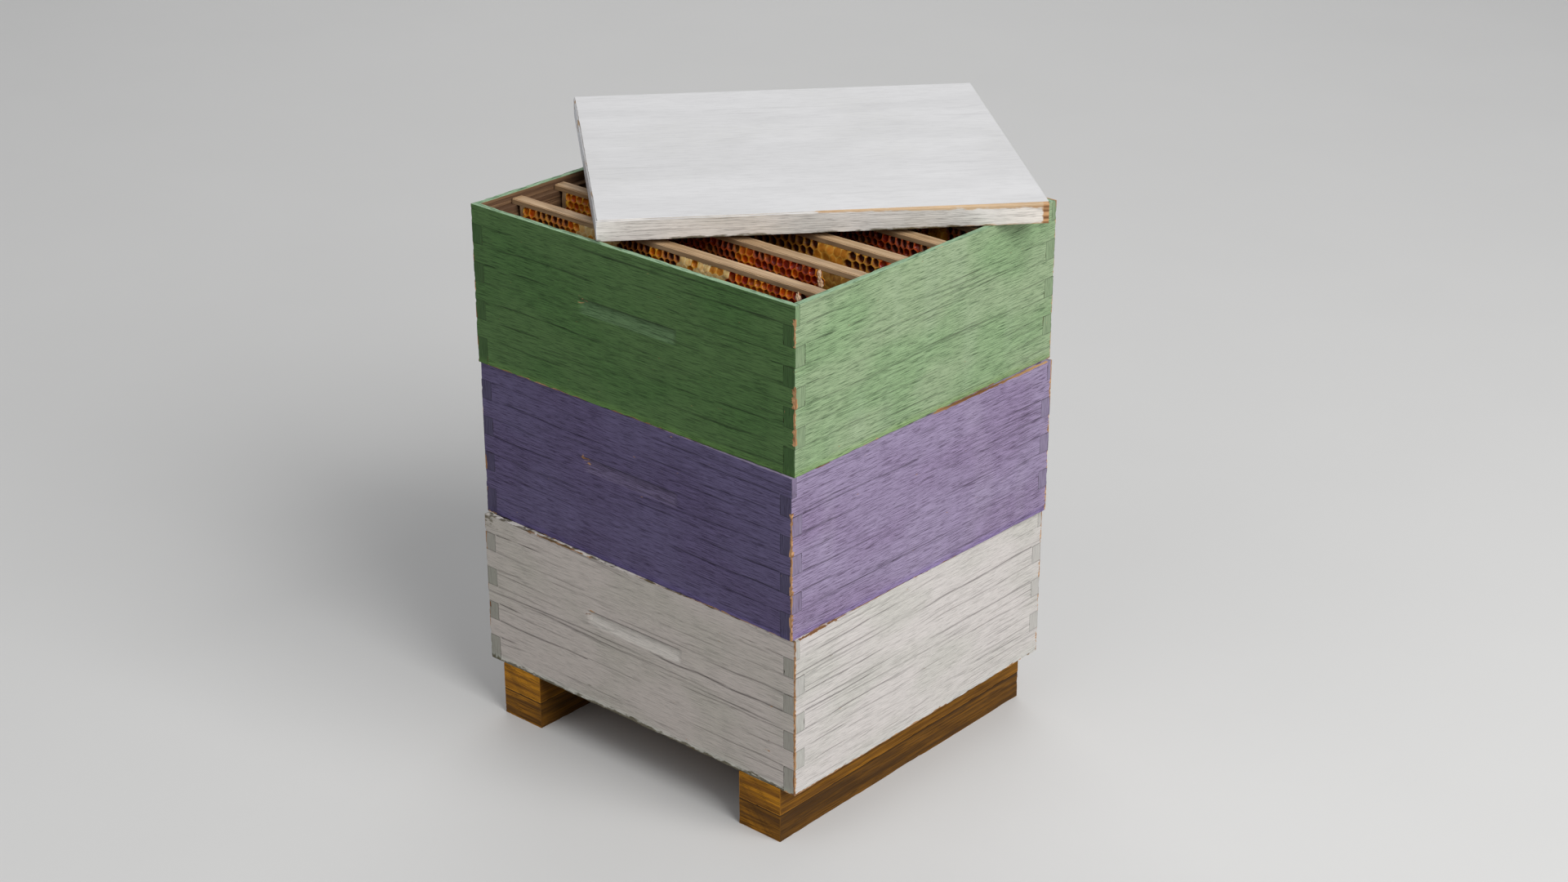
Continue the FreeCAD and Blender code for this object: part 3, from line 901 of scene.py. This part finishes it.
# ==== comb ====
# kinds of cell along the upper part of each comb of the top box, front first: (end of the stretch, kind),
# from the left end, as shares of the comb's length
COMB_STRETCHES = {
    1: (
        (0.05, "gold"), (0.16, "open"), (0.20, "gold"), (0.36, "capped"), (0.46, "open"), (0.50, "gold"),
        (0.57, "open"), (0.60, "capped"), (0.63, "gold"), (0.73, "capped"), (0.79, "red"), (0.83, "amber"),
        (0.97, "red"), (1.0, "dark"),
    ),
    2: (
        (0.08, "gold"), (0.10, "open"), (0.12, "gold"), (0.40, "dark"), (0.63, "dark_red"), (0.68, "amber"),
        (0.74, "dark_red"), (0.89, "red"), (0.91, "amber"), (1.0, "old"),
    ),
    3: (
        (0.40, "dark"), (0.50, "open"), (0.75, "gold_open"), (0.86, "capped_gold"), (0.97, "gold_open"),
        (1.0, "dark_red"),
    ),
    4: ((0.5, "open"), (0.78, "dark"), (0.97, "dark_red"), (1.0, "dark")),
    5: ((0.5, "gold"), (0.8, "open"), (0.87, "amber"), (0.93, "capped_gold"), (1.0, "dark")),
    6: ((0.3, "capped"), (0.7, "gold_open"), (1.0, "open")),
}
# (rim, wall, floor) colours as screen numbers, and whether the cell is open, full of honey or capped
KINDS = {
    "open": ((224, 146, 62), (120, 46, 16), (62, 18, 10), "open"),
    "dark": ((178, 98, 54), (84, 28, 16), (44, 12, 10), "open"),
    "dark_red": ((196, 92, 42), (104, 28, 14), (70, 16, 8), "open"),
    "gold_open": ((232, 170, 66), (140, 68, 18), (70, 24, 10), "open"),
    "red": ((206, 96, 34), (160, 44, 10), (116, 24, 6), "honey"),
    "amber": ((238, 160, 48), (214, 110, 20), (176, 70, 8), "honey"),
    "gold": ((240, 184, 64), (226, 144, 30), (188, 98, 12), "honey"),
    "capped": ((244, 222, 168), (240, 212, 150), (234, 200, 132), "capped"),
    "capped_gold": ((230, 176, 78), (220, 156, 54), (204, 132, 40), "capped"),
    "old": ((166, 128, 56), (156, 116, 46), (146, 104, 40), "capped"),
}
PALE_WAX = (224, 192, 158)
# knobs of spare wax on the front of a comb, in millimetres: frame, distance right of the box's middle,
# below the bar, width, height
WAX_KNOBS = (
    (1, 174.5, 5.0, 5.0, 10.0),
    (2, 149.8, 3.0, 4.5, 7.0),
    (2, 150.6, 7.6, 4.5, 8.0),
    (2, 151.8, 12.2, 7.5, 8.0),
)
# kinds that turn up here and there among others: {among: (stray kind, share)}
STRAYS = {
    "red": ("amber", 0.30),
    "dark_red": ("red", 0.25),
    "capped": ("capped_gold", 0.22),
    "open": ("gold_open", 0.3),
    "gold": ("amber", 0.35),
    "gold_open": ("capped_gold", 0.12),
    "dark": ("dark_red", 0.35),
}


def kind_of_cells(u, depth, stretches, seed):
    """Kind of each cell: u from 0 to 1 along the comb, depth in metres below the top bar."""
    wobble = (rough_noise(u * 14, depth * 60, seed + 5) - 0.5) * 0.07
    names = np.empty(len(u), object)
    place = u + wobble * np.minimum(depth / 0.02, 1.5)
    start = np.full(len(u), True)
    for end, kind in stretches:
        names[start & (place <= end + 1e-9)] = kind
        start &= place > end
    names[start] = stretches[-1][1]
    deep = depth - 0.05 * rough_noise(u * 6, u * 0 + 0.2, seed + 9)
    random = rough_noise(u * 30, depth * 160, seed + 11)
    lower = np.where(random > 0.62, "gold_open", np.where(random < 0.36, "dark", "open"))
    arch = deep > 0.030
    names[arch] = lower[arch]
    draw = np.random.default_rng(seed + 15).random(len(u))
    for kind, (other, share) in STRAYS.items():
        names[(names == kind) & (draw < share)] = other
        draw = np.where(names == other, 1.0, draw)
    return names


def cell_grid(low, high, pitch):
    """Centres of a comb's cells, whether each lies on its left, right, top and foot, and the two steps."""
    width, height = high[0] - low[0], high[2] - low[2]
    rows = int(round(height / (pitch * math.sqrt(3) / 2)))
    columns = int(round(width / pitch))
    column_step, row_step = width / (columns + 0.5), height / rows
    r, c = (k.ravel() for k in np.mgrid[:rows, :columns])
    x = low[0] + column_step * (c + 0.5 + 0.5 * (r % 2))
    z = high[2] - row_step * (r + 0.5)
    return x, z, (c == 0, c == columns - 1, r == 0, r == rows - 1), column_step, row_step


def hexagon(sides):
    """Points round a hexagon of size 1 that stands on a corner. Their number is a multiple of six."""
    step = sides // 6
    corners = [np.array([math.sin(math.pi / 3 * a), math.cos(math.pi / 3 * a)]) for a in range(7)]
    pairs = zip(corners[:-1], corners[1:])
    return np.array([a + (b - a) * part / step for a, b in pairs for part in range(step)])


def honeycomb(low, high, front, stretches, seed, pitch, sides):
    """Points, quads, triangles, colours and wetness of one side of a comb, in its box's own frame.

    low and high are the comb's corners there; front is -1 for the side that faces the front. Each cell is
    a few rings, from its rim inwards and down, and a fan that closes it."""
    rng = np.random.default_rng(seed)
    cx, cz, on_edges, column_step, row_step = cell_grid(low, high, pitch)
    n = len(cx)
    kinds = kind_of_cells((cx - low[0]) / (high[0] - low[0]), high[2] - cz, stretches, seed)
    state = np.array([KINDS[k][3] for k in kinds])
    is_honey, is_capped = state == "honey", state == "capped"
    jitter = rng.random(n)
    depths = [OPEN_DEPTH * (0.8 + 0.3 * jitter), HONEY_DEPTH * (0.4 + 1.2 * jitter)]
    floor = np.select([state == "open", is_honey], depths, 0)
    dome = np.where(is_capped, (0.5 * jitter - 0.2) * MM, 0)
    tint = (1 + (rng.random(n) - 0.5) * np.where(is_capped, 0.2, 0.5))[:, None]
    colours = [np.array([srgb(*KINDS[k][j]) for k in kinds]) for j in range(3)]

    rings = (  # size, how round, height over the comb's surface
        (1.0, 0.0, np.zeros(n)),
        (0.92, 0.3, 0.25 * MM * ~is_capped + dome * 0.6),
        (0.86, 0.55, dome - floor * 0.6),
        (0.55, 0.9, dome * 1.1 - floor),
    )
    corners = hexagon(sides)
    circle = corners / np.linalg.norm(corners, axis=1, keepdims=True) * 0.93
    radius_x, radius_z = column_step / math.sqrt(3), row_step / 1.5
    px, pz, rise, tone, wet = [], [], [], [], []
    for ring, (size, roundness, height) in enumerate(rings):
        shape = (corners * (1 - roundness) + circle * roundness) * size
        x = cx[:, None] + shape[None, :, 0] * radius_x
        z = cz[:, None] + shape[None, :, 1] * radius_z
        if ring == 0:
            left, right, upper, foot = (edge[:, None] for edge in on_edges)
            across, upright = shape.T
            x = np.select([left & (across < -0.5), right & (across > 0.5)], [low[0], high[0]], x)
            z = np.select([upper & (upright > 0.1), foot & (upright < -0.1)], [high[2], low[2]], z)
        colour = sum(c * share for c, share in zip(colours, SHADING[ring]))
        px.append(x)
        pz.append(z)
        rise.append(np.repeat(height[:, None], sides, axis=1))
        tone.append(np.repeat((colour * (tint if ring else 1.0))[:, None, :], sides, axis=1))
        wet.append(np.repeat(np.where(is_honey, 1.0, 0.25 if ring > 1 else 0.1)[:, None], sides, axis=1))
    px, pz, rise, tone, wet = (np.stack(a, axis=1) for a in (px, pz, rise, tone, wet))

    inner = np.minimum.reduce([px - low[0], high[0] - px, pz - low[2], high[2] - pz]) > 0.1 * MM
    wobble_x = (rough_noise(px * 75, pz * 75, seed + 21) - 0.5) * 4.2 * MM
    wobble_z = (rough_noise(px * 75, pz * 75, seed + 31) - 0.5) * 3.4 * MM
    px, pz = px + wobble_x * inner, pz + wobble_z * inner
    surface = comb_surface(px, pz, low, high, (high[1] - low[1]) / 2, seed)
    crust = (rough_noise(px * 210, pz * 210, seed + 51) - 0.5) * 2.2 * MM * is_capped[:, None, None]
    py = (low[1] + high[1]) / 2 + front * (surface + rise + crust * inner)

    count = len(rings) * sides
    cloud = np.stack([px, py, pz], axis=-1)
    points = with_centre(cloud.reshape(n, count, 3), cloud[:, -1].mean(axis=1))
    tone = with_centre(tone.reshape(n, count, 3), tone[:, -1, -1])
    wet = with_centre(wet.reshape(n, count, 1), wet[:, -1, -1:])
    first = np.arange(sides)
    after = np.roll(first, -1)
    band = np.stack([first, after, after + sides, first + sides], axis=1)
    quads = np.concatenate([band + ring * sides for ring in range(len(rings) - 1)])
    fan = np.stack([first + count - sides, after + count - sides, np.full(sides, count)], axis=1)
    base = (np.arange(n) * (count + 1))[:, None, None]
    quads, fans = (f if front > 0 else f[:, ::-1] for f in (quads, fan))
    return points, (base + quads).reshape(-1, 4), (base + fans).reshape(-1, 3), tone, wet.ravel()


def with_centre(rings, centre):
    """Values at the points of each cell's rings and at its centre, one row per point."""
    return np.concatenate([rings, centre[:, None, :]], axis=1).reshape(-1, rings.shape[2])


def comb_surface(x, z, low, high, swell, seed):
    """Half thickness of the comb at a place: thin where it meets the bars, full between."""
    from_top, from_low = high[2] - z, z - low[2]
    near = np.minimum(np.clip(from_top / 0.010, 0, 1), np.clip(from_low / 0.010, 0, 1))
    thin, thick = swell * COMB_THIN, swell * COMB_THICK
    wave = (rough_noise(x * 16, z * 16, seed + 41) - 0.5) * 2.4 * MM
    return thin + (thick - thin) * near * (2 - near) + wave * near


def comb_piece(name, low, high, seat, body, node, material, stretches, seed, pitch, sides):
    """A whole comb: both faces of cells, closed along its edges."""
    bm = bmesh.new()
    tone_layer = bm.verts.layers.float_color.new("tone")
    wet_layer = bm.verts.layers.float.new("wet")
    for front in (-1, 1):
        points, quads, fans, tone, wet = honeycomb(low, high, front, stretches, seed, pitch, sides)
        verts = [bm.verts.new(p) for p in points]
        for v, c, w in zip(verts, tone, wet):
            v[tone_layer] = (*c, 1.0)
            v[wet_layer] = w
        for face in (*quads, *fans):
            bm.faces.new([verts[i] for i in face])
    bmesh.ops.remove_doubles(bm, verts=bm.verts, dist=0.02 * MM)
    middle = (low[1] + high[1]) / 2
    rim = [e for e in bm.edges if e.is_boundary]
    skirt = bmesh.ops.extrude_edge_only(bm, edges=rim)["geom"]
    for v in skirt:
        if isinstance(v, bmesh.types.BMVert):
            v.co.y = middle
    seam = [v for v in bm.verts if abs(v.co.y - middle) < 1e-7]
    bmesh.ops.remove_doubles(bm, verts=seam, dist=0.05 * MM)
    bmesh.ops.recalc_face_normals(bm, faces=bm.faces)
    finish_piece(smooth_object(name, bm, seat), material, body, [node], "beeswax")


def wax_knob(name, body, place, size, seed, material):
    """A knob of pale spare wax: a lumpy ball at a place in the top box, size in metres."""
    bm = bmesh.new()
    bmesh.ops.create_icosphere(bm, subdivisions=4, radius=0.5)
    points = np.array([v.co[:] for v in bm.verts])
    lump = 1 + 0.9 * (rough_noise(points[:, 0] * 4 + points[:, 1] * 3, points[:, 2] * 4, seed) - 0.45)
    tone = bm.verts.layers.float_color.new("tone")
    wet = bm.verts.layers.float.new("wet")
    for v, k in zip(bm.verts, lump):
        v.co = Vector(place) + Vector([c * k * s for c, s in zip(v.co, size)])
        v[tone] = (*srgb(*PALE_WAX), 1.0)
        v[wet] = 0.4
    finish_piece(smooth_object(name, bm, SEATS["top"]), material, body, [], "beeswax")


def local_boxes(node, seat):
    """Low and high corners, in the seat's frame, of each separate solid of a CAD node, front first."""
    bm = bmesh.new()
    bm.from_mesh(NODES[node].data)
    bm.transform(seat.inverted())
    bmesh.ops.remove_doubles(bm, verts=bm.verts, dist=1e-6)
    left, boxes = set(bm.verts), []
    while left:
        heap, found = [left.pop()], []
        while heap:
            v = heap.pop()
            found.append(v.co.copy())
            for e in v.link_edges:
                other = e.other_vert(v)
                if other in left:
                    left.remove(other)
                    heap.append(other)
        points = np.array(found)
        boxes.append((points.min(0), points.max(0)))
    bm.free()
    return sorted(boxes, key=lambda b: b[0][1])


# ==== build ====
def build_boxes():
    materials = {}
    for level in LEVELS:
        look = PAINTS[level], BARE_WOOD, INNER_WOOD, GRAIN_CONTRAST[level]
        materials[level] = painted_timber(BOX_SLOTS[level], *look)
    for level in LEVELS:
        for wall in WALLS:
            board(level, wall, materials)


def build_frames():
    wood = plain_timber("frame_wood")
    wax = wax_material()
    for i in range(1, FRAME_COUNT + 1):
        build_top_frame(f"top_frame_{i}", i, wood, wax)
    for k, level in enumerate(LEVELS[:2]):
        body = f"{level}_frames"
        for j, (group, along) in enumerate((("top_bars", 0), ("bottom_bars", 0), ("side_bars", 2))):
            node = f"{level}_frame_{group}"
            timber(node, SEATS[level], body, "frame_wood", wood, along=along, seed=140 + 10 * k + j)
        combs = f"{level}_frame_combs"
        for i, (low, high) in enumerate(local_boxes(combs, SEATS[level]), 1):
            stretches = COMB_STRETCHES[(i + 2 + k) % FRAME_COUNT + 1]
            name, seed = f"{level}_frame_{i}_drawn_comb", 320 + 10 * k + i
            comb_piece(name, low, high, SEATS[level], body, combs, wax, stretches, seed, COVERED_PITCH, 6)


def build_top_frame(frame_name, i, wood, wax):
    """One frame of the top box: its bars, comb and knobs of spare wax."""
    seat = SEATS["top"]
    common = (seat, frame_name, "frame_wood", wood)
    timber(f"{frame_name}_top_bar", *common, seed=100 + i, count=5, deep=0.25, ease=0.7 * MM)
    timber(f"{frame_name}_bottom_bar", *common, seed=110 + i, count=5, deep=0.3)
    for side in ("left", "right"):
        timber(f"{frame_name}_{side}_side_bar", *common, along=2, fine=1, seed=120 + i)
    comb = f"{frame_name}_comb"
    low, high = local_boxes(comb, seat)[0]
    pitch = CELL_PITCHES.get(i, USUAL_PITCH)
    name = f"{frame_name}_drawn_comb"
    comb_piece(name, low, high, seat, frame_name, comb, wax, COMB_STRETCHES[i], 300 + i, pitch, 12)
    face = (low[1] + high[1]) / 2 - (high[1] - low[1]) * KNOB_FACE
    knobs = [knob[1:] for knob in WAX_KNOBS if knob[0] == i]
    for k, (x, below, width, height) in enumerate(knobs, 1):
        place = (x * MM, face, high[2] - below * MM)
        size = (width * MM, width * MM, height * MM)
        wax_knob(f"{frame_name}_wax_knob_{k}", frame_name, place, size, 400 + 10 * i + k, wax)


def build_stand():
    looks = {name: plain_timber(name) for name in ("stand_upper", "stand_lower", "floor_ply")}
    seat = SEATS["stand"]
    steps = (2.0 * MM, GRAIN_STEP, 1.5 * MM)
    common = dict(along=1, fine=2, steps=steps, count=60, ease=1.0 * MM, deep=0.9, side_dirt=0.9)
    for k, side in enumerate(("left", "right")):
        for j, part in enumerate(("upper", "lower")):
            place = (f"{side}_runner_{part}", seat, "stand", "stand_timber", looks[f"stand_{part}"])
            timber(*place, seed=160 + 2 * k + j, seam=part == "lower", **common)
    steps = (GRAIN_STEP, 4 * MM, 3 * MM)
    timber("floor_panel", seat, "stand", "floor_ply", looks["floor_ply"], steps=steps, seed=170)
    steel = steel_material()
    for side in ("left", "right"):
        nails = NODES[f"{side}_runner_nails"]
        nails.data.materials.clear()
        nails.data.materials.append(steel)


def build_lid():
    seat = SEATS["lid"]
    points, quads, axes, sides = blocky_copy("lid_panel", seat, (5 * MM, 4 * MM, 1.25 * MM))
    normal = outward(points, quads, axes, sides)
    seed = 60
    u, w, v = points.T
    top, right = v.max(), u.max()
    on_edge = np.maximum(np.abs(normal[:, 0]), np.abs(normal[:, 1])) > 0
    on_left = u < u.min() + SAME
    front = w < w.min() + 2 * MM

    # shape
    across_grain = np.where(on_edge, v, w)
    size = (0.04, 0.25), (0.6 * MM, 1.1 * MM), (0.2 * MM, 0.7 * MM)
    grooves = groove_field(u + w, across_grain, seed, 60, *size)
    arris = np.count_nonzero(normal, axis=1) > 1
    chips = ramp(rough_noise(u * 90 + w * 70, w * 90 - v * 80, seed + 80), 0.5, 0.8) * 0.3 * MM
    inward = grooves * np.where(on_edge, 1.0, 0.2) + np.where(arris, chips, 0)
    obj = make_object("lid_panel_timber", to_row(points - normal * inward[:, None], seat), quads)

    # marks for the material: a bare strip along the front's upper edge, and a bare right end
    at_end = (np.abs(u) > right - SAME) & ~(np.abs(w) > np.abs(w).max() - SAME)
    cracks_and_shadow = np.select([on_left, on_edge], [0.25, 0.9], 0.15)
    tall = (2.5 + 4.5 * ramp(u, 0.0, 0.2)) * MM
    strip = front * ramp(u, -20 * MM, 0) * np.clip(1.15 - (top - v) / tall, 0, 0.8)
    lower = front * ramp(u, 0.02, 0.08) * np.clip(1.1 - v / (3.2 * MM), 0, 1) * 0.62
    corner = front * ramp(u, right - 9 * MM, right - 4 * MM)
    left = (u < u.min() + 2 * MM) * ~front * ramp(rough_noise(w * 25, v * 60, seed + 5), 0.55, 0.7) * 0.6
    patchy = ramp(rough_noise(u * 30, v * 0, seed + 6), 0.45, 0.6)
    flat = np.zeros(len(points))
    store(
        obj,
        grain=np.stack([np.where(at_end, w, u), v, w + np.where(at_end, u, 0)], axis=1) + 5.0,
        groove=np.clip(grooves / (0.7 * MM), 0, 1) * cracks_and_shadow,
        end_grain=flat,
        seam=flat,
        rim=flat,
        fresh=on_left.astype(float),
        bleach=ramp(rough_noise(u * 8, w * 30, seed + 90), 0.3, 0.7),
        paint=1 - front * ramp(u, right - 7 * MM, right - 3 * MM),
        wear=np.maximum.reduce([strip, lower, corner, left]),
        dirt=front * np.clip(1.2 - v / (4 * MM), 0, 1) * patchy * 0.8,
    )

    look = PAINTS["lid"], LID_WOOD, LID_WOOD, GRAIN_CONTRAST["lid"]
    face = painted_timber("lid_paint", *look, roughness=0.6, ragged=0.8, relief=0.25)
    look = PAINTS["lid_edge"], LID_WOOD, BARE_WOOD, GRAIN_CONTRAST["lid_edge"]
    edge = painted_timber("lid_edge_paint", *look, ragged=1.1, relief=0.7, soft=0.2)
    finish_piece(obj, face, "lid", ["lid_panel"], "lid_paint", 1.0 * MM)
    obj.data.materials.append(edge)
    obj.data.polygons.foreach_set("material_index", (axes < 2).astype(np.int32))


def build_stage():
    """Plain pale floor and soft light."""
    corners = [(x * FLOOR_HALF, y * FLOOR_HALF, 0) for x, y in ((-1, -1), (1, -1), (1, 1), (-1, 1))]
    plane = make_object("floor", np.array(corners), np.array([(0, 1, 2, 3)]))
    m = Nodes("pale_floor")
    m.link(Base_Color=m.mix(m.noise(m.object_place(), scale=3.0), srgb(208, 207, 205), srgb(212, 211, 209)))
    m.shader.inputs["Roughness"].default_value = 0.9
    plane.data.materials.append(m.material)
    world = bpy.data.worlds.new("studio")
    world.use_nodes = True
    world.node_tree.nodes["Background"].inputs["Color"].default_value = (0.92, 0.95, 1.0, 1.0)
    world.node_tree.nodes["Background"].inputs["Strength"].default_value = SKY_STRENGTH
    bpy.context.scene.world = world
    middle = STACK.translation + Vector((0, 0, 0.3))
    for name, azimuth, elevation, size, power in LAMPS:
        light = bpy.data.lights.new(name, "AREA")
        light.size = size
        light.energy = power
        aim(linked(bpy.data.objects.new(name, light)), middle, azimuth, elevation, LAMP_DISTANCE)


def aim(obj, target, azimuth, elevation, distance):
    """Puts a lamp or camera at a distance from a target and turns it to look there.

    Azimuth 0 stands in front of the object, 90 to its right, in degrees."""
    a, e = math.radians(azimuth), math.radians(elevation)
    away = Vector((math.sin(a) * math.cos(e), -math.cos(a) * math.cos(e), math.sin(e)))
    obj.location = target + away * distance
    obj.rotation_euler = away.to_track_quat("Z", "Y").to_euler()


def build_camera():
    data = bpy.data.cameras.new("camera")
    data.lens = VIEW_LENS
    data.sensor_width = 36.0
    camera = linked(bpy.data.objects.new("camera", data))
    aim(camera, STACK.translation + AIM_FROM_STACK, VIEW_AZIMUTH, VIEW_ELEVATION, VIEW_DISTANCE)
    bpy.context.scene.camera = camera
    bpy.context.scene.view_settings.view_transform = "Standard"


build_camera()
build_stage()
build_stand()
build_boxes()
build_frames()
build_lid()
